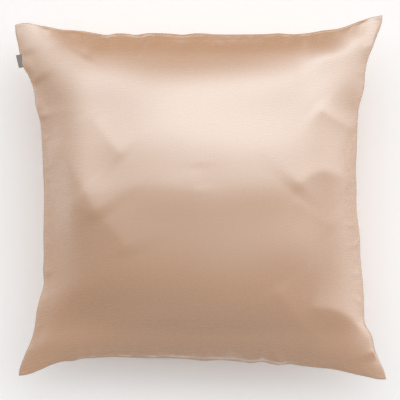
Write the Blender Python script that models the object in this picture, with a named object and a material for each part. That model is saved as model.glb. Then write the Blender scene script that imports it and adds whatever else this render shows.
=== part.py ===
"""A square satin pillow case, filled, lying on its back, with a folded label in its side seam.

Metres, +Z up. X runs along the top edge of the case and Y up its front. The origin is
under the middle of the case, on the surface that it rests on. Sizes below are in
millimetres.
"""

import math

import bmesh
import bpy
from mathutils import Matrix, Vector

MM = 0.001

# The filled case.
CELLS = 44  # cells along each side of a panel
CLOSER_TO_SEAM = 0.6  # 0: even cells, 1: cells as close to the seam as on a round edge
FRONT_CROWN = 76.0  # the front panel's middle over the seam
BACK_CROWN = 92.0  # the back panel's middle under the seam, before it is pressed flat
SHOULDER = 3.0  # how broad the crown is: 2 is an ellipse, more is boxier
FLANK = 0.54  # how steeply the panel leaves the seam: 0.5 is upright
FLATTENED = 4.0  # off the back's crown, pressed flat by the weight of the cushion
SEAM_HEIGHT = BACK_CROWN - FLATTENED  # of the seam's own level over the surface
WELD = 0.01  # points closer than this are one

# The seam's corners seen from above, from the middle of the case.
CORNERS = {
    "top left": (-248.0, 232.0),
    "top right": (244.0, 244.0),
    "bottom left": (-243.0, -239.0),
    "bottom right": (249.0, -243.0),
}

# Each side of the seam: its two corners, the way that it is drawn in, and its shape.
# Columns of the shape: share of the way along, drawn in by, raised over the seam's level.
SIDES = {
    "top": {
        "ends": ("top left", "top right"),
        "inward": (0, -1),
        "shape": (
            (0.00, 0.0, -4.0),
            (0.03, -2.0, -4.0),
            (0.13, 8.0, -1.0),
            (0.26, 16.0, 0.0),
            (0.50, 17.0, 0.0),
            (0.72, 20.0, 1.0),
            (0.86, 17.0, 5.0),
            (0.92, 9.0, 6.0),
            (1.00, 0.0, 5.0),
        ),
    },
    "bottom": {
        "ends": ("bottom left", "bottom right"),
        "inward": (0, 1),
        "shape": (
            (0.00, 0.0, -4.0),
            (0.05, 4.0, -3.0),
            (0.09, 13.0, -2.0),
            (0.18, 23.0, 0.0),
            (0.30, 25.0, 0.0),
            (0.50, 23.0, 0.0),
            (0.70, 19.0, 0.0),
            (0.85, 12.0, 1.0),
            (0.95, 3.0, 2.0),
            (1.00, 0.0, 3.0),
        ),
    },
    "left": {
        "ends": ("bottom left", "top left"),
        "inward": (1, 0),
        "shape": (
            (0.00, 0.0, -4.0),
            (0.04, 3.0, -3.0),
            (0.14, 21.0, -1.0),
            (0.24, 32.0, 0.0),
            (0.30, 35.0, 0.0),
            (0.55, 36.0, 1.0),
            (0.72, 31.0, 4.0),
            (0.82, 22.0, 2.0),
            (0.90, 9.0, -2.0),
            (1.00, 0.0, -4.0),
        ),
    },
    "right": {
        "ends": ("bottom right", "top right"),
        "inward": (-1, 0),
        "shape": (
            (0.00, 0.0, 3.0),
            (0.05, 5.0, 2.0),
            (0.11, 17.0, 0.0),
            (0.15, 26.0, 0.0),
            (0.35, 32.0, 0.0),
            (0.54, 37.0, 0.0),
            (0.70, 35.0, 0.0),
            (0.82, 26.0, 1.0),
            (0.92, 11.0, 4.0),
            (1.00, 0.0, 5.0),
        ),
    },
}

# The main folds of the front. Columns: points along the fold, raised by, half its width.
FOLDS = (
    # The soft ridge across the middle.
    (((-200, 60), (-155, 30), (-95, 16), (0, 22), (60, 22), (120, 18), (195, 24)), 4.0, 34.0),
    # The dip beside the left seam, under the top left corner.
    (((-238, 224), (-223, 188), (-211, 164), (-201, 128)), -5.0, 7.0),
    # The ridge that runs into the bottom right corner, and the dip inside it.
    (((168, -152), (196, -157), (216, -176), (230, -205), (238, -232)), 3.0, 7.0),
    (((160, -168), (186, -174), (204, -192), (216, -218)), -4.0, 9.0),
    # The pinch at the middle of the right side, and the dip under it.
    (((130, 22), (160, 36), (192, 26), (206, 12)), 2.0, 8.0),
    (((146, 8), (178, 12), (204, -4)), -2.5, 8.0),
)
FOLD_END = 14.0  # the length over which a fold fades out at its ends
FOLD_CLEAR = 0.90  # folds fade out between this share of a panel and its seam

# The label: a tape folded across, whose fold stands out from the seam.
LABEL_WIDTH = 17.5  # along the seam
LABEL_REACH = 7.4  # out from the seam
LABEL_THICKNESS = 1.4  # both layers
LABEL_ALONG_LEFT = 0.899  # share of the way up the left side, at the label's middle
LABEL_FOLD_ROUND = 0.6  # radius of the fold's two edges
LABEL_FOLD_STEPS = 3  # flats along each of those edges
LABEL_GAP = 0.3  # between the label and the seam

# Columns: linear colour, roughness.
SATIN = (0.50, 0.34, 0.24, 1.0), 0.35
TAPE = (0.27, 0.25, 0.24, 1.0), 0.8


def smooth_between(rows, along, column):
    """The value of a column at a share of the way along, on a smooth curve through the rows."""
    last = len(rows) - 2
    k = max(i for i in range(last + 1) if rows[i][0] <= along or i == 0)
    before, start, end, after = (rows[min(max(i, 0), last + 1)] for i in (k - 1, k, k + 1, k + 2))
    step = end[0] - start[0]
    share = (along - start[0]) / step
    slope_in = step * (end[column] - before[column]) / (end[0] - before[0])
    slope_out = step * (after[column] - start[column]) / (after[0] - start[0])
    rise = end[column] - start[column]
    curve = share * share * (3 - 2 * share)
    return (
        start[column]
        + rise * curve
        + slope_in * share * (1 - share) ** 2
        - slope_out * share * share * (1 - share)
    )


def seam_point(side, along):
    """A point of the seam, from the shape of its side, in millimetres."""
    start, end = (Vector((*CORNERS[name], 0)) for name in SIDES[side]["ends"])
    inward = Vector((*SIDES[side]["inward"], 0))
    shape = SIDES[side]["shape"]
    drawn_in = smooth_between(shape, along, 1)
    raised = smooth_between(shape, along, 2)
    return start.lerp(end, along) + inward * drawn_in + Vector((0, 0, raised))


def across_panel(right, up):
    """A point of the sheet that spans the four sides of the seam; right and up run 0 to 1."""
    bottom, top = seam_point("bottom", right), seam_point("top", right)
    left, far = seam_point("left", up), seam_point("right", up)
    low = seam_point("bottom", 0).lerp(seam_point("bottom", 1), right)
    high = seam_point("top", 0).lerp(seam_point("top", 1), right)
    return bottom.lerp(top, up) + left.lerp(far, right) - low.lerp(high, up)


def crown_share(right, up):
    """The share of its crown that a panel stands off the seam's sheet; both run -1 to 1."""
    fullness = (1 - abs(right) ** SHOULDER) * (1 - abs(up) ** SHOULDER)
    return max(fullness, 0) ** FLANK


def fold_height(point):
    """The height that the main folds add at a point of the front."""
    total = 0.0
    for path, raised, half_width in FOLDS:
        points = [Vector(p) for p in path]
        lengths = [(b - a).length for a, b in zip(points, points[1:])]
        best = None
        walked = 0.0
        for a, b, length in zip(points, points[1:], lengths):
            share = min(max((point - a).dot(b - a) / length**2, 0), 1)
            distance = (point - a.lerp(b, share)).length
            if best is None or distance < best[0]:
                best = distance, walked + share * length
            walked += length
        distance, at = best
        fade = min(at, walked - at, FOLD_END) / FOLD_END
        across = math.exp(-((distance / half_width) ** 2))
        total += raised * across * math.sin(fade * math.pi / 2)
    return total


def closer_to_seam(share):
    """Moves the even cells of a grid, -1 to 1, towards the seam, where the panel bends most."""
    return (1 - CLOSER_TO_SEAM) * share + CLOSER_TO_SEAM * math.sin(share * math.pi / 2)


def panel_point(right, up, front):
    """A vertex of the front or back panel, in metres; right and up run -1 to 1."""
    point = across_panel((right + 1) / 2, (up + 1) / 2)
    height = crown_share(right, up)
    if front:
        nearness = max(abs(right), abs(up))
        clear = min(max((1 - nearness) / (1 - FOLD_CLEAR), 0), 1)
        height = FRONT_CROWN * height + clear * fold_height(Vector((point.x, point.y)))
    else:
        height = -BACK_CROWN * height
    return MM * Vector((point.x, point.y, max(SEAM_HEIGHT + point.z + height, 0)))


def add_object(name, shape, material, collection):
    """Turns a bmesh into an object with one material, in the case's collection."""
    mesh = bpy.data.meshes.new(name)
    shape.to_mesh(mesh)
    shape.free()
    mesh.materials.append(material)
    thing = bpy.data.objects.new(name, mesh)
    collection.objects.link(thing)
    return thing


def add_material(name, colour, roughness):
    """A plain Principled material."""
    material = bpy.data.materials.new(name)
    material.use_nodes = True
    shader = material.node_tree.nodes["Principled BSDF"]
    shader.inputs["Base Color"].default_value = colour
    shader.inputs["Roughness"].default_value = roughness
    shader.inputs["Metallic"].default_value = 0.0
    material.diffuse_color = colour
    return material


def build_filled_case(collection):
    """Two square panels, crowned over their filling and sewn together along the seam."""
    case = bmesh.new()
    for front in (True, False):
        panel = bmesh.ops.create_grid(case, x_segments=CELLS, y_segments=CELLS, size=1)
        for vertex in panel["verts"]:
            right, up = closer_to_seam(vertex.co.x), closer_to_seam(vertex.co.y)
            vertex.co = panel_point(right, up, front)
        if not front:
            faces = {face for vertex in panel["verts"] for face in vertex.link_faces}
            bmesh.ops.reverse_faces(case, faces=list(faces))
    seam = [v for v in case.verts if v.is_boundary]
    bmesh.ops.remove_doubles(case, verts=seam, dist=WELD * MM)
    resting = [f for f in case.faces if all(v.co.z == 0 for v in f.verts)]
    bmesh.ops.dissolve_faces(case, faces=resting)
    bmesh.ops.triangulate(case, faces=[f for f in case.faces if len(f.verts) == 4])
    thing = add_object("filled_case", case, add_material("satin", *SATIN), collection)
    thing.data.shade_smooth()
    return thing


def build_side_label(collection):
    """A folded tape that stands out from the left seam, in line with it, its fold rounded."""
    side_length = CORNERS["top left"][1] - CORNERS["bottom left"][1]
    shares = [LABEL_ALONG_LEFT + LABEL_WIDTH * k / side_length for k in (-0.5, -0.25, 0, 0.25, 0.5)]
    seam = [seam_point("left", share) for share in shares]
    along = (seam[-1] - seam[0]).normalized()
    outward = Vector((-along.y, along.x, 0)).normalized()
    bulge = max((point - seam[0]).dot(outward) for point in seam)
    label = bmesh.new()
    block = Matrix.Diagonal((LABEL_WIDTH * MM, LABEL_REACH * MM, LABEL_THICKNESS * MM, 1))
    bmesh.ops.create_cube(label, size=1, matrix=block)
    fold = [edge for edge in label.edges if all(v.co.y > 0 for v in edge.verts)]
    fold = [edge for edge in fold if abs(edge.verts[0].co.x - edge.verts[1].co.x) > WELD * MM]
    fold_round = LABEL_FOLD_ROUND * MM
    bmesh.ops.bevel(
        label, geom=fold, offset=fold_round, segments=LABEL_FOLD_STEPS, profile=0.5, affect="EDGES"
    )
    thing = add_object("side_label", label, add_material("tape", *TAPE), collection)
    middle = seam[0].lerp(seam[-1], 0.5) + Vector((0, 0, SEAM_HEIGHT))
    middle += outward * (bulge + LABEL_GAP + LABEL_REACH / 2)
    turn = Matrix((along, outward, along.cross(outward))).transposed().to_4x4()
    thing.matrix_world = Matrix.Translation(MM * middle) @ turn
    return thing


for old in list(bpy.data.objects):
    bpy.data.objects.remove(old, do_unlink=True)
pillow = bpy.data.collections.new("pillow_case")
bpy.context.scene.collection.children.link(pillow)
build_filled_case(pillow)
build_side_label(pillow)
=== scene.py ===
"""A filled square satin pillowcase on a pale floor, looked down on as in its photograph.

Metres, +Z up. X runs along the top edge of the case and Y up its front.
"""

import math

import bpy
import numpy as np
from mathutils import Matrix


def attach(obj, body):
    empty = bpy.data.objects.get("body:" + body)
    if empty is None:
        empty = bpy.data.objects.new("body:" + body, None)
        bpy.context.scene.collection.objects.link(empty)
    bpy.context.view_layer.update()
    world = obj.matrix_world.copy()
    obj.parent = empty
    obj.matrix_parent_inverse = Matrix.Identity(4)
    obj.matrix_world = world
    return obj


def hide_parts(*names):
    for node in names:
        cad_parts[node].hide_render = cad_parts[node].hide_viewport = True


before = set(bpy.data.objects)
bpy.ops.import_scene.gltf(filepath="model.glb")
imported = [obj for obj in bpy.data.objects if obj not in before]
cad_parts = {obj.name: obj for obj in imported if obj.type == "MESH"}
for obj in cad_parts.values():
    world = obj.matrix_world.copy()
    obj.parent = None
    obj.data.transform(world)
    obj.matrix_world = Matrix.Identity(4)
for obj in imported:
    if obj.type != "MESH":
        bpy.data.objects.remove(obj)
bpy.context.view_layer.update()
bpy.ops.object.select_all(action="DESELECT")

# The case: two 50 cm squares of satin, sewn right sides together and turned out, then
# filled. Their plain seam lies on the outline that it takes up, and the two panels are
# blown up between it as cloth. Folds and puckers are then raised where the seam pulls.
MM = 0.001
CUT_SIDE = 500.0  # of a panel between its seams, mm
SEAM_LEVEL = 88.0  # of the seam over the floor, mm
CELLS = 104  # along each side of a panel, before it is subdivided
CLOSER_TO_SEAM = 0.6  # 0: even cells; nearer 1: smaller cells at the seam
FRONT_DOME = 71.0  # height over the seam that the front panel is blown up from, mm
BACK_DOME = 127.0  # the same of the back, which the floor then presses flat, mm
FILLED_FROM = 45.0  # in from the seam, where the filling presses with all its weight, mm
LIP_RISE = 0.5  # of each panel over the seam, at the inner side of its sewn lip, mm
CLOTH_FRAMES = 20  # that the cloth has to settle in
FLOOR_EASE = 2.0  # how softly the back's crown goes flat on the floor, mm
WELD = 0.05  # points of the two panels that are closer than this are one, mm

# Where the seam's corners lie, from the middle of the case, mm.
CORNERS = {
    "top left": (-248.0, 232.0),
    "top right": (244.0, 244.0),
    "bottom left": (-243.0, -239.0),
    "bottom right": (249.0, -243.0),
}

# Each side of the seam: its two corners, and the way that it is drawn in. Then pairs of
# share along the side and mm: how far it is drawn in, and how far it is raised.
SIDES = {
    "top": {
        "ends": ("top left", "top right"),
        "inward": (0, -1),
        "drawn in": (
            (0.0, 0.0), (0.02, -2.0), (0.04, -1.5), (0.055, 0.5), (0.09, 4.0), (0.125, 8.0),
            (0.155, 9.5), (0.19, 11.5), (0.22, 14.5), (0.255, 17.5), (0.27, 16.0), (0.3, 16.0),
            (0.335, 18.5), (0.35, 17.0), (0.4, 17.0), (0.435, 18.5), (0.46, 20.0), (0.48, 18.5),
            (0.55, 20.5), (0.63, 21.5), (0.695, 21.5), (0.72, 21.0), (0.745, 22.5), (0.8, 21.5),
            (0.84, 18.5), (0.875, 17.0), (0.905, 13.0), (0.925, 9.5), (0.94, 7.0), (0.975, 2.0),
            (1.0, 0.0),
        ),
        "raised": ((0.0, -4.0), (0.13, 1.0), (0.26, 5.0), (0.5, 8.0), (0.75, 8.0), (1.0, 5.0)),
    },
    "bottom": {
        "ends": ("bottom left", "bottom right"),
        "inward": (0, 1),
        "drawn in": (
            (0.0, 0.0), (0.02, 1.5), (0.055, 7.5), (0.085, 14.5), (0.12, 20.0), (0.155, 21.5),
            (0.17, 24.0), (0.2, 25.0), (0.25, 27.0), (0.3, 26.5), (0.35, 26.0), (0.43, 26.0),
            (0.465, 25.0), (0.51, 23.0), (0.53, 24.0), (0.595, 23.0), (0.645, 21.0),
            (0.66, 23.0), (0.675, 21.0), (0.71, 18.0), (0.74, 20.0), (0.755, 18.5),
            (0.805, 15.5), (0.855, 13.0), (0.89, 9.5), (0.92, 6.0), (0.955, 2.5), (0.98, 0.0),
            (1.0, 0.0),
        ),
        "raised": ((0.0, -4.0), (0.1, -1.0), (0.2, 3.0), (0.45, 6.0), (0.7, 6.0), (1.0, 3.0)),
    },
    "left": {
        "ends": ("top left", "bottom left"),
        "inward": (1, 0),
        "drawn in": (
            (0.0, 0.0), (0.025, 0.5), (0.055, 3.5), (0.085, 6.0), (0.12, 10.0), (0.14, 16.0),
            (0.16, 20.5), (0.195, 25.5), (0.23, 27.0), (0.26, 31.0), (0.295, 34.5),
            (0.33, 35.0), (0.365, 36.0), (0.415, 36.5), (0.465, 37.5), (0.535, 37.0),
            (0.605, 36.0), (0.67, 36.0), (0.705, 35.0), (0.725, 36.0), (0.74, 35.5),
            (0.775, 30.5), (0.81, 26.0), (0.86, 22.5), (0.895, 18.0), (0.93, 10.5),
            (0.965, 3.5), (0.985, 0.5), (1.0, 0.0),
        ),
        "raised": (
            (0.0, -4.0), (0.1, -2.0), (0.2, 3.0), (0.3, 7.0), (0.5, 9.0), (0.7, 8.0), (0.86, 4.0),
            (1.0, -4.0),
        ),
    },
    "right": {
        "ends": ("top right", "bottom right"),
        "inward": (-1, 0),
        "drawn in": (
            (0.0, 0.0), (0.02, 1.0), (0.055, 7.5), (0.09, 14.0), (0.12, 20.0), (0.155, 24.0),
            (0.205, 26.5), (0.255, 33.5), (0.305, 35.5), (0.355, 36.5), (0.4, 37.5),
            (0.425, 38.5), (0.46, 37.5), (0.535, 37.5), (0.565, 36.0), (0.6, 34.0),
            (0.665, 33.0), (0.735, 30.0), (0.8, 28.5), (0.85, 27.0), (0.88, 18.5),
            (0.915, 15.0), (0.95, 8.5), (0.98, 2.0), (1.0, 0.0),
        ),
        "raised": (
            (0.0, 5.0), (0.1, 6.0), (0.25, 10.0), (0.4, 9.0), (0.7, 6.0), (0.9, 4.0), (1.0, 3.0),
        ),
    },
}
BOWED = 4  # every fourth pair of a side gives its general bow; the rest wobble from it
WOBBLE_REACH = 16.0  # in from the seam, to where its wobbles fade out, mm

# Where the filling lies unevenly under the front: the middle of each soft swell or hollow,
# half its length and width, the degrees that its length turns from X, and mm raised.
SWELLS = (
    # Hollows under the top side: round at the left shoulder, wide and shallow at the right.
    (-120, 122, 62, 48, 0, -6.5),
    (60, 112, 70, 42, 0, -4.5),
    (120, 118, 50, 42, 20, -3.0),
    (-20, 120, 45, 30, 0, -1.0),
    # Just inside the seams: hollows where the filling reaches less, and low swells at its edge.
    (184, 116, 18, 50, 0, -2.5),
    (-184, -35, 24, 100, 0, -2.5),
    (-168, 128, 24, 34, 0, 1.5),
    (-10, -179, 160, 15, 0, -2.6),
    (0, 197, 160, 14, 0, 0.9),
    # A low swell towards the top right corner, and the hollow beside it.
    (200, 150, 50, 30, 60, 2.0),
    (165, 165, 40, 20, 40, -2.0),
    # The soft ridge across the middle, highest at both ends.
    (-164, 15, 78, 28, 90, 5.5),
    (-140, -10, 50, 36, -60, 3.0),
    (-20, 4, 110, 32, 0, 1.5),
    (100, 12, 60, 30, 0, 1.5),
    (176, 44, 66, 24, 90, 4.5),
    (184, -34, 60, 22, 90, 3.5),
    # Hollows over the bottom side, towards both corners, and a low swell between them.
    (-150, -165, 50, 30, 8, -7.5),
    (-90, -150, 70, 34, -10, -3.5),
    (136, -124, 44, 46, 0, -4.0),
    (172, -184, 34, 26, -20, -3.0),
    (100, -170, 60, 28, 0, -1.5),
    (30, -122, 56, 44, 0, 2.0),
)

# Folds and creases of the front: points along each, from the middle of the case, how far its
# crest is raised, how round the crest is, and how far its left and right flanks reach, seen
# from its first point to its last, all in mm.
FRONT_FOLDS = (
    # The edge that falls away from the left shoulder.
    (
        (
            (-206, 66), (-190, 61), (-175, 52), (-164, 38), (-155, 22), (-146, 6), (-136, -12),
            (-124, -30),
        ),
        1.8, 5, 26, 14,
    ),
    # The billow at the right, and the folds above and below it.
    (
        ((118, 6), (125, 14), (134, 23), (146, 31), (159, 35), (175, 31), (190, 25), (207, 12)),
        2.0, 4, 22, 18,
    ),
    (((150, 124), (159, 116), (175, 105), (192, 96), (208, 87)), 2.0, 3, 12, 18),
    (((115, -4), (132, -10), (147, -20), (165, -31), (180, -44)), 0.6, 4, 18, 16),
    # The lower edge of the ridge across the middle, and a short dent above it.
    (
        ((-172, 0), (-130, 8), (-104, 13), (-78, 15), (-52, 17), (-26, 17), (-10, 21), (20, 20)),
        1.0, 8, 40, 24,
    ),
    (((-1, 48), (0, 28), (1, 8)), -0.4, 6, 12, 12),
    # Soft slanting folds at the upper left, the left and the lower right.
    (((-145, 115), (-140, 103), (-124, 81), (-107, 61), (-95, 50)), 1.2, 4, 16, 16),
    (((-170, 5), (-162, -4), (-136, -20), (-114, -41), (-98, -62), (-90, -80)), 1.0, 4, 24, 16),
    (((95, -115), (109, -134), (125, -157), (143, -176), (163, -193)), 1.4, 4, 20, 14),
    # The fold that runs into the bottom right corner.
    (
        (
            (140, -143), (153, -146), (172, -148), (190, -155), (208, -169), (220, -185),
            (229, -203), (234, -220),
        ),
        2.5, 4, 16, 18,
    ),
    # The crease that runs into the top right corner, steep above it and gentle below.
    (
        ((130, 178), (156, 180), (178, 184), (198, 192), (214, 207), (227, 222), (240, 238)),
        6.0, 12, 16, 80,
    ),
    # The trough beside the left seam, which deepens down from the top left corner.
    (((-231, 202), (-224, 184), (-217, 167), (-210, 151), (-205, 134), (-202, 110)), -1.2, 5, 18, 12),
    (((-217, 165), (-211, 153), (-206, 138), (-203, 117), (-202, 90), (-202, 66)), -1.5, 5, 18, 10),
    # A short slack fold off the top seam, near the left.
    (((-134, 220), (-141, 207), (-148, 196), (-156, 183)), -0.8, 4, 10, 12),
)
FOLD_STEP = 4.0  # between the points that a fold's curve is measured from, mm

# Puckers that the seam draws into both panels: the side, from and to where along it from its
# middle in mm, how many, and how far they are raised and reach in, mm.
PUCKERS = (
    ("top", -225, -130, 7, 0.5, 12),
    ("top", -126, -44, 5, 1.3, 20),
    ("top", -44, 98, 12, 0.5, 14),
    ("top", 98, 148, 3, 1.4, 18),
    ("top", 148, 230, 6, 0.6, 12),
    ("bottom", -225, -155, 5, 0.6, 14),
    ("bottom", -152, -128, 2, 1.3, 16),
    ("bottom", -118, -14, 8, 0.8, 16),
    ("bottom", 14, 60, 4, 0.9, 14),
    ("bottom", 60, 82, 2, 1.6, 24),
    ("bottom", 90, 122, 2, 1.4, 18),
    ("bottom", 130, 230, 8, 0.6, 14),
    ("left", -215, 30, 18, 0.4, 12),
    ("left", 38, 122, 7, 0.9, 14),
    ("left", 130, 205, 5, 0.5, 14),
    ("right", 60, 215, 11, 0.6, 12),
    ("right", -24, 56, 6, 0.9, 16),
    ("right", -64, -26, 4, 1.4, 20),
    ("right", -215, -70, 11, 0.7, 14),
)
PUCKER_WIDTH = 0.32  # half of one, as a share of the gap between two
SWELLS_FADE = 0.06  # in from the seam, over which swells fade in, as a share of half a side
FOLDS_FADE = 0.02  # the same for folds and puckers

# The finish, in linear colours.
DEEP_DYE = (0.619, 0.33, 0.172, 1)
PALE_DYE = (0.659, 0.354, 0.188, 1)
GLEAM = (0.84, 0.96, 1, 1)  # what its reflections are tinted by
DYE_CLOUDS = 9.0  # of paler and deeper dye, to a metre
SLUBS = (60, 1600, 1)  # of the thread, to a metre along X and along Y
FAR_OFF = (0, -1000, 0)  # the point that its stretched gleam turns round, m


def curve_through(pairs, shares):
    """Values at these shares of a smooth curve through pairs of share and value."""
    along, values = np.array(pairs).T
    slopes = np.gradient(values, along)
    k = np.clip(np.searchsorted(along, shares) - 1, 0, len(along) - 2)
    step = along[k + 1] - along[k]
    s = (shares - along[k]) / step
    rise = values[k + 1] - values[k]
    eased = values[k] + rise * s * s * (3 - 2 * s)
    return eased + step * s * (1 - s) * (slopes[k] * (1 - s) - slopes[k + 1] * s)


def seam_line(side, shares, every=1):
    """Points of the seam at shares of the way along one side, mm."""
    start, end = (np.array((*CORNERS[name], 0.0)) for name in SIDES[side]["ends"])
    inward = np.array((*SIDES[side]["inward"], 0.0))
    drawn = SIDES[side]["drawn in"]
    points = start + np.outer(shares, end - start)
    points += np.outer(curve_through(drawn[:-1:every] + drawn[-1:], shares), inward)
    points[:, 2] += curve_through(SIDES[side]["raised"], shares)
    return points


def seam_sheet(right, up):
    """Points of the sheet that spans the four sides of the seam; right and up run 0 to 1."""
    bottom, top = seam_line("bottom", right, BOWED), seam_line("top", right, BOWED)
    left, far = seam_line("left", 1 - up, BOWED), seam_line("right", 1 - up, BOWED)
    corner = {}
    for side in ("bottom", "top"):
        corner[side + " left"], corner[side + " right"] = seam_line(side, np.array([0.0, 1.0]))
    r, u = right[:, None], up[:, None]
    low = (1 - r) * corner["bottom left"] + r * corner["bottom right"]
    high = (1 - r) * corner["top left"] + r * corner["top right"]
    sheet = (1 - u) * bottom + u * top + (1 - r) * left + r * far - (1 - u) * low - u * high
    for side, share, inside in (
        ("bottom", right, up),
        ("top", right, 1 - up),
        ("left", 1 - up, right),
        ("right", 1 - up, 1 - right),
    ):
        wobble = seam_line(side, share) - seam_line(side, share, BOWED)
        sheet += wobble * np.exp(-((inside * CUT_SIDE / WOBBLE_REACH) ** 2))[:, None]
    return sheet


def mesh_points(mesh):
    """The vertices of a mesh as an array, mm."""
    points = np.empty(len(mesh.vertices) * 3)
    mesh.vertices.foreach_get("co", points)
    return points.reshape(-1, 3) / MM


def move_points(mesh, points):
    """Puts the vertices of a mesh at these points, mm."""
    mesh.vertices.foreach_set("co", (points * MM).ravel())
    mesh.update()


def face_corners(mesh):
    """The number of the vertex at each corner of each face of a mesh."""
    corners = np.empty(len(mesh.loops), dtype=int)
    mesh.loops.foreach_get("vertex_index", corners)
    return corners


def cut_points(mesh):
    """Where each vertex lies on the flat cut panel, from its middle, mm."""
    spread = np.empty(len(mesh.loops) * 2)
    mesh.uv_layers.active.data.foreach_get("uv", spread)
    cut = np.empty((len(mesh.vertices), 2))
    cut[face_corners(mesh)] = spread.reshape(-1, 2) / MM
    return cut


def edit_whole(change, **settings):
    """Runs an edit mode operator on the whole of the active piece."""
    bpy.ops.object.mode_set(mode="EDIT")
    bpy.ops.mesh.select_all(action="SELECT")
    change(**settings)
    bpy.ops.object.mode_set(mode="OBJECT")


def blow_up(panel, lip, filled):
    """Fills a panel like cloth under pressure, held by its lip.

    filled is the share of the pressure that each of its points feels.
    """
    pinned = panel.vertex_groups.new(name="sewn")
    pinned.add(np.flatnonzero(lip).tolist(), 1.0, "REPLACE")
    pressed = panel.vertex_groups.new(name="filled")
    for k, share in enumerate(filled):
        pressed.add([k], float(share), "REPLACE")
    cloth = panel.modifiers.new("Cloth", "CLOTH")
    satin = cloth.settings
    satin.quality = 6
    satin.mass = 0.05
    satin.tension_stiffness = satin.compression_stiffness = 40
    satin.shear_stiffness = 5
    satin.bending_stiffness = 5
    satin.tension_damping = satin.compression_damping = satin.shear_damping = 1
    satin.air_damping = 1
    satin.vertex_group_mass = "sewn"
    satin.pin_stiffness = 50
    satin.use_pressure = True
    satin.uniform_pressure_force = 10
    satin.vertex_group_pressure = "filled"
    satin.effector_weights.gravity = 0
    cloth.collision_settings.use_collision = False
    cloth.point_cache.frame_end = CLOTH_FRAMES
    for step in range(1, CLOTH_FRAMES + 1):
        bpy.context.scene.frame_set(step)
    blown = panel.evaluated_get(bpy.context.evaluated_depsgraph_get())
    points = mesh_points(blown.data)
    panel.modifiers.remove(cloth)
    bpy.context.scene.frame_set(1)
    move_points(panel.data, points)
    ease = panel.modifiers.new("Smooth", "SMOOTH")
    ease.factor = 0.5
    ease.iterations = 6
    ease.vertex_group = "filled"
    bpy.ops.object.modifier_apply(modifier=ease.name)
    panel.vertex_groups.clear()


def swell_height(points, swells):
    """The height that swells and hollows add at these points of a panel, mm."""
    total = np.zeros(len(points))
    for x, y, half_length, half_width, turned, raised in swells:
        c, s = math.cos(math.radians(turned)), math.sin(math.radians(turned))
        right, up = points[:, 0] - x, points[:, 1] - y
        along, across = right * c + up * s, up * c - right * s
        total += raised * np.exp(-((along / half_length) ** 2) - (across / half_width) ** 2)
    return total


def fold_height(points, folds):
    """The height that folds add at these points of a panel, mm."""
    total = np.zeros(len(points))
    for path, raised, crest, left, right in folds:
        path = np.array(path, dtype=float)
        walked = np.r_[0, np.cumsum(np.linalg.norm(np.diff(path, axis=0), axis=1))]
        along = np.linspace(0, walked[-1], max(int(walked[-1] / FOLD_STEP), 2))
        line = np.stack([curve_through(np.c_[walked, path[:, k]], along) for k in (0, 1)], axis=1)
        nearest = np.full(len(points), np.inf)
        at, side = np.zeros(len(points)), np.zeros(len(points))
        for walk, start, step in zip(along, line, np.diff(line, axis=0)):
            away = points[:, :2] - start
            share = np.clip(away @ step / (step @ step), 0, 1)
            away -= np.outer(share, step)
            distance = np.linalg.norm(away, axis=1)
            closer = distance < nearest
            nearest[closer] = distance[closer]
            at[closer] = (walk + share * (along[1] - along[0]))[closer]
            across = step[0] * away[:, 1] - step[1] * away[:, 0]
            side[closer] = (across / np.linalg.norm(step) / np.maximum(distance, 0.001))[closer]
        reach = (left + right) / 2 + (left - right) / 2 * side
        end = min((left + right) / 2, walked[-1] / 2)
        near_end = np.minimum(np.minimum(at, walked[-1] - at) / end, 1)
        fade = 0.5 - 0.5 * np.cos(near_end * math.pi)
        total += raised * fade * np.exp((crest - np.hypot(nearest, crest)) / reach)
    return total


def pucker_height(cut):
    """The height that puckers add at these places of the cut panel, mm.

    Sines of the count make their places, lean and height uneven, in the same way each run.
    """
    total = np.zeros(len(cut))
    for side, start, end, count, raised, reach in PUCKERS:
        inward = np.array(SIDES[side]["inward"])
        inside = CUT_SIDE / 2 + cut @ inward
        along = cut @ abs(inward[::-1])
        gap = (end - start) / count
        for k in range(count):
            place = start + (k + 0.5 + 0.3 * math.sin(2.4 * k + start)) * gap
            lean = 0.4 * math.sin(1.7 * k + end) * inside
            uneven = 0.7 + 0.3 * math.cos(4.1 * k + start)
            ridge = np.exp(-(((along - place - lean) / (PUCKER_WIDTH * gap)) ** 2))
            total += raised * uneven * ridge * np.exp(-((inside / reach / uneven) ** 2))
    return total


def fade_in(inside, fade):
    """From 0 on the seam to 1 at this share of the way in, and level on both sides."""
    share = np.clip(inside / fade, 0, 1)
    return share**2 * (3 - 2 * share)


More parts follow.
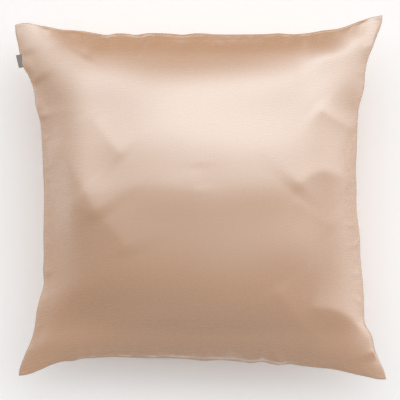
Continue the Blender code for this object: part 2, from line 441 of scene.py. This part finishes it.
def make_panel(name, dome, front):
    """A panel of the case: a grid laid on the seam, blown up, subdivided, then folded."""
    bpy.ops.mesh.primitive_grid_add(x_subdivisions=CELLS, y_subdivisions=CELLS, size=2)
    panel = bpy.context.object
    panel.name = panel.data.name = name
    mesh = panel.data
    # The grid's own places run evenly from -1 to 1 both ways, and are drawn closer to the seam.
    even = mesh_points(mesh)[:, :2] * MM
    shares = (1 - CLOSER_TO_SEAM) * even + CLOSER_TO_SEAM * np.sin(even * math.pi / 2)
    cut = shares * CUT_SIDE / 2
    mesh.uv_layers.active.data.foreach_set("uv", (cut[face_corners(mesh)] * MM).ravel())
    points = seam_sheet(*((shares + 1) / 2).T)
    fullness = (1 - np.abs(shares[:, 0]) ** 3) * (1 - np.abs(shares[:, 1]) ** 3)
    rise = (dome - points[:, 2]) * fullness
    # The sewn lip is the two outermost rings of points, and the inner one stands off the other.
    edge = np.abs(cut).max(axis=1)
    ring = edge.round(3)
    rings = np.unique(ring)
    lip = ring > rings[-3]
    points[:, 2] += np.where(lip, LIP_RISE * (ring < rings[-1]), rise)
    move_points(mesh, points)
    blow_up(panel, lip, np.clip((CUT_SIDE / 2 - edge) / FILLED_FROM, 0, 1))
    smooth = panel.modifiers.new("Subdivision", "SUBSURF")
    smooth.levels = smooth.render_levels = 1
    smooth.boundary_smooth = "PRESERVE_CORNERS"
    bpy.ops.object.modifier_apply(modifier=smooth.name)
    points, cut = mesh_points(mesh), cut_points(mesh)
    seam = seam_sheet(*((cut / CUT_SIDE + 0.5).clip(0, 1)).T)
    out = np.empty(len(mesh.vertices) * 3)
    mesh.vertices.foreach_get("normal", out)
    inside = 1 - np.abs(cut).max(axis=1) * 2 / CUT_SIDE
    raised = pucker_height(cut) * fade_in(inside, FOLDS_FADE)
    if front:
        raised += swell_height(points, SWELLS) * fade_in(inside, SWELLS_FADE)
        raised += fold_height(points, FRONT_FOLDS) * fade_in(inside, FOLDS_FADE)
    points += out.reshape(-1, 3) * raised[:, None]
    if front:
        points[:, 2] += SEAM_LEVEL
    else:
        points[:, 2] = SEAM_LEVEL + 2 * seam[:, 2] - points[:, 2]
        points[:, 2] = FLOOR_EASE * np.logaddexp(0, points[:, 2] / FLOOR_EASE)
        edit_whole(bpy.ops.mesh.flip_normals)
    move_points(mesh, points)
    return panel


class Strand:
    """One output of a shader node; sums on strands add Math nodes to their material."""

    def __init__(self, tree, socket=None):
        self.tree, self.socket = tree, socket

    def add(self, kind, settings, sockets, output=0):
        """A new node's output, its settings made first and then its sockets set or linked."""
        node = self.tree.nodes.new("ShaderNode" + kind)
        for name, value in settings.items():
            if name == "stops":
                while len(node.color_ramp.elements) < len(value):
                    node.color_ramp.elements.new(1.0)
                for stop, (place, grey) in zip(node.color_ramp.elements, value):
                    stop.position, stop.color = place, (grey, grey, grey, 1)
            else:
                setattr(node, name, value)
        for name, value in sockets.items():
            if isinstance(value, Strand):
                self.tree.links.new(value.socket, node.inputs[name])
            else:
                node.inputs[name].default_value = value
        return Strand(self.tree, node.outputs[output])

    def __add__(self, other):
        return self.add("Math", {"operation": "ADD"}, {0: self, 1: other})

    def __sub__(self, other):
        return self.add("Math", {"operation": "SUBTRACT"}, {0: self, 1: other})

    def __rsub__(self, other):
        return self.add("Math", {"operation": "SUBTRACT"}, {0: other, 1: self})

    def __mul__(self, other):
        return self.add("Math", {"operation": "MULTIPLY"}, {0: self, 1: other})

    __radd__, __rmul__ = __add__, __mul__


def new_finish(name):
    """A material, its Principled shader and a strand to build its nodes with."""
    material = bpy.data.materials.new(name)
    material.use_nodes = True
    tree = material.node_tree
    return material, tree.nodes["Principled BSDF"], Strand(tree)


def lay_on(shader, colour, roughness, weave):
    """Links what changes over a surface to its shader."""
    for name, value in (("Base Color", colour), ("Roughness", roughness), ("Normal", weave)):
        value.tree.links.new(value.socket, shader.inputs[name])


def satin_finish():
    """Smooth satin: long gleaming floats of thread over a rose beige dye."""
    material, shader, strand = new_finish("rose_beige_satin")
    cut = strand.add("UVMap", {}, {})
    thread = strand.add("Mapping", {}, {"Vector": cut, "Scale": SLUBS})
    slubs = strand.add("TexNoise", {}, {"Vector": thread, "Scale": 1.0, "Detail": 3.0})
    clouds = strand.add("TexNoise", {}, {"Vector": cut, "Scale": DYE_CLOUDS, "Detail": 2.0})
    colour = strand.add(
        "Mix",
        {"data_type": "RGBA"},
        {"Factor": slubs * 0.3 + clouds * 0.7, "A": DEEP_DYE, "B": PALE_DYE},
        output="Result",
    )
    weave = strand.add("Bump", {}, {"Height": slubs, "Strength": 0.08, "Distance": 0.0001})
    lay_on(shader, colour, slubs * 0.04 + 0.25, weave)
    shader.inputs["IOR"].default_value = 3.0
    shader.inputs["Specular Tint"].default_value = GLEAM
    shader.inputs["Anisotropic"].default_value = 0.6
    return material


panels = [
    make_panel("front_panel", FRONT_DOME, front=True),
    make_panel("back_panel", BACK_DOME, front=False),
]
for panel in panels:
    panel.select_set(True)
bpy.context.view_layer.objects.active = panels[0]
bpy.ops.object.join()
case = bpy.context.object
case.name = case.data.name = "satin_case"
edit_whole(bpy.ops.mesh.remove_doubles, threshold=WELD * MM)
bpy.ops.object.shade_smooth()
# The gleam turns round the middle of this space, so far off that it runs straight along X.
case.data.use_auto_texspace = False
case.data.texspace_location = FAR_OFF
case.data.texspace_size = (1, 1, 1)
case.data.materials.append(satin_finish())
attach(case, "root")
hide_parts("filled_case")
bpy.ops.object.select_all(action="DESELECT")

# The side label: a short grey tape, folded once across. Its cut ends are caught in the left
# seam near the top corner, and the fold stands out. It is woven with a fine rib, and plain.
LABEL_WIDTH = 17.8  # along the seam, mm
LABEL_REACH = 7.0  # out from the seam, mm
LABEL_CAUGHT = 1.2  # of each end inside the seam, mm
LABEL_TAPE = 0.35  # thickness, mm
LABEL_OPEN = 0.95  # across the fold, between the middles of its layers, mm
LABEL_PINCH = 0.45  # the same where the seam holds it, mm
LABEL_MIDDLE = (-238.0, 183.8, 86.2)  # of the edge held by the seam, mm
LABEL_UP = (-0.235, 0.972)  # the way its held edge runs
LABEL_OUT = (-0.985, -0.171)  # the way that it stands out
LABEL_DROOP = 0.5  # of its free edge, mm
LABEL_RIBS = 24  # across its width
WAVE_BANDS = 3.18  # that a wave texture draws across its map at a scale of 1
DARK_GREY = (0.19, 0.172, 0.163, 1)
PALE_GREY = (0.37, 0.34, 0.325, 1)


def label_path(share):
    """Out from the seam and height of the tape at a share of the way round its fold, mm."""
    arc = math.pi * LABEL_OPEN / 2
    straight = LABEL_REACH + LABEL_CAUGHT - LABEL_OPEN / 2
    walk = abs(share - 0.5) * (2 * straight + arc) - arc / 2
    side = 1 if share > 0.5 else -1
    if walk < 0:
        turn = (walk + arc / 2) / (LABEL_OPEN / 2)
        rim = LABEL_REACH - LABEL_OPEN / 2
        return rim + LABEL_OPEN / 2 * math.cos(turn), side * LABEL_OPEN / 2 * math.sin(turn)
    near = walk / straight
    half = (1 - near) * LABEL_OPEN / 2 + near * LABEL_PINCH / 2
    return LABEL_REACH - LABEL_OPEN / 2 - walk, side * half


def tape_finish():
    """Matt grey woven tape, with a fine rib and paler fibres."""
    material, shader, strand = new_finish("grey_tape")
    place = strand.add("UVMap", {}, {})
    rib = strand.add(
        "TexWave",
        {"wave_type": "BANDS", "bands_direction": "Y", "wave_profile": "SIN"},
        {
            "Vector": place,
            "Scale": LABEL_RIBS / WAVE_BANDS,
            "Distortion": 0.6,
            "Detail Scale": 30.0,
        },
        output="Fac",
    )
    fibre = strand.add("TexNoise", {}, {"Vector": place, "Scale": 60.0, "Detail": 2.0})
    shade = rib * 0.55 + fibre * 0.45
    colour = strand.add(
        "Mix",
        {"data_type": "RGBA"},
        {"Factor": shade, "A": DARK_GREY, "B": PALE_GREY},
        output="Result",
    )
    weave = strand.add("Bump", {}, {"Height": shade, "Strength": 0.5, "Distance": 0.0003})
    lay_on(shader, colour, 0.9 - fibre * 0.2, weave)
    return material


bpy.ops.mesh.primitive_grid_add(x_subdivisions=36, y_subdivisions=14, size=2)
label = bpy.context.object
label.name = label.data.name = "folded_label"
up, out = np.array((*LABEL_UP, 0.0)), np.array((*LABEL_OUT, 0.0))
points = []
for right, along in mesh_points(label.data)[:, :2] * MM:
    reach, height = label_path((right + 1) / 2)
    free = max(reach, 0) / LABEL_REACH
    droop = LABEL_DROOP * free**2 + LABEL_DROOP * free * max(-along, 0) ** 2
    place = np.array(LABEL_MIDDLE) + up * along * LABEL_WIDTH / 2 + out * reach
    points.append(place + (0, 0, height - droop))
move_points(label.data, np.array(points))
body = label.modifiers.new("Solidify", "SOLIDIFY")
body.thickness = LABEL_TAPE * MM
body.offset = 0
soft = label.modifiers.new("Subdivision", "SUBSURF")
soft.levels = soft.render_levels = 1
for modifier in (body, soft):
    bpy.ops.object.modifier_apply(modifier=modifier.name)
edit_whole(bpy.ops.mesh.normals_make_consistent, inside=False)
bpy.ops.object.shade_smooth_by_angle(angle=math.radians(50))
label.data.materials.append(tape_finish())
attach(label, "root")
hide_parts("side_label")
bpy.ops.object.select_all(action="DESELECT")

# The floor: one plain, pale and smooth sheet that the case lies on, wide enough to fill every
# view. It gives a little light of its own, so it stays near white.
FLOOR_SIDE = 12  # m
bpy.ops.mesh.primitive_plane_add(size=FLOOR_SIDE, location=(0, 0, 0))
floor = bpy.context.object
floor.name = floor.data.name = "studio_floor"
material, shader = new_finish("pale_floor")[:2]
shader.inputs["Base Color"].default_value = (0.95, 0.95, 0.95, 1)
shader.inputs["Roughness"].default_value = 0.8
shader.inputs["Emission Color"].default_value = (1, 1, 1, 1)
shader.inputs["Emission Strength"].default_value = 0.1
floor.data.materials.append(material)

# The camera: straight over the case, face on, with a long lens and far enough away to frame
# the whole of the seam.
VIEW_SIDE = 536.0  # framed at the seam's level, mm
VIEW_MIDDLE = (0.0, -3.0)  # of that, mm
LENS = 150  # mm
SENSOR = 36  # its width, mm
camera_data = bpy.data.cameras.new("camera")
camera = bpy.data.objects.new("camera", camera_data)
bpy.context.scene.collection.objects.link(camera)
camera_data.lens = LENS
camera_data.sensor_width = SENSOR
camera.location = [mm * MM for mm in (*VIEW_MIDDLE, SEAM_LEVEL + VIEW_SIDE * LENS / SENSOR)]
bpy.context.scene.camera = camera

# The light: a broad soft strip overhead along X, set towards the top of the case, that fades
# smoothly into a dimmer room, so the satin shows one wide gleam. It fades by how far a
# direction leans from a plane along X, which itself leans from upright towards the top.
STRIP_TILT = 24  # of that plane, degrees
STRIP_BRIGHT = 2.44
ROOM = 0.1  # brightness of the room all round
# Share of the strip's brightness at each lean from the plane: below 0 overhead and towards
# the bottom of the case, above 0 towards the top.
ACROSS_STRIP = (
    (-1.0, 0.11), (-0.74, 0.12), (-0.59, 0.17), (-0.41, 0.32), (-0.21, 0.62), (0.0, 0.93),
    (0.21, 1.0), (0.41, 0.64), (0.59, 0.26), (0.74, 0.09), (0.87, 0.03), (1.0, 0.01),
)
# The same by how far it leans along the strip: below 0 to the left, above 0 to the right.
ALONG_STRIP = (
    (-1.0, 0.27), (-0.7, 0.46), (-0.35, 0.73), (0.0, 1.0), (0.35, 0.86), (0.7, 0.81),
    (1.0, 0.55),
)
world = bpy.data.worlds.new("studio")
bpy.context.scene.world = world
world.use_nodes = True
strand = Strand(world.node_tree)
towards = strand.add("TexCoord", {}, {})
tilt = math.radians(STRIP_TILT)
across = (0, math.cos(tilt), -math.sin(tilt))
along = (1, 0, 0)
fades = []
for way, table in ((across, ACROSS_STRIP), (along, ALONG_STRIP)):
    lean = strand.add(
        "VectorMath", {"operation": "DOT_PRODUCT"}, {0: towards, 1: way}, output="Value"
    )
    stops = [((place + 1) / 2, share) for place, share in table]
    fades.append(strand.add("ValToRGB", {"stops": stops}, {"Fac": lean * 0.5 + 0.5}))
glow = fades[0] * fades[1] * STRIP_BRIGHT + ROOM
background = world.node_tree.nodes["Background"]
world.node_tree.links.new(glow.socket, background.inputs["Strength"])
background.inputs["Color"].default_value = (1, 1, 1, 1)
bpy.context.scene.view_settings.view_transform = "Standard"
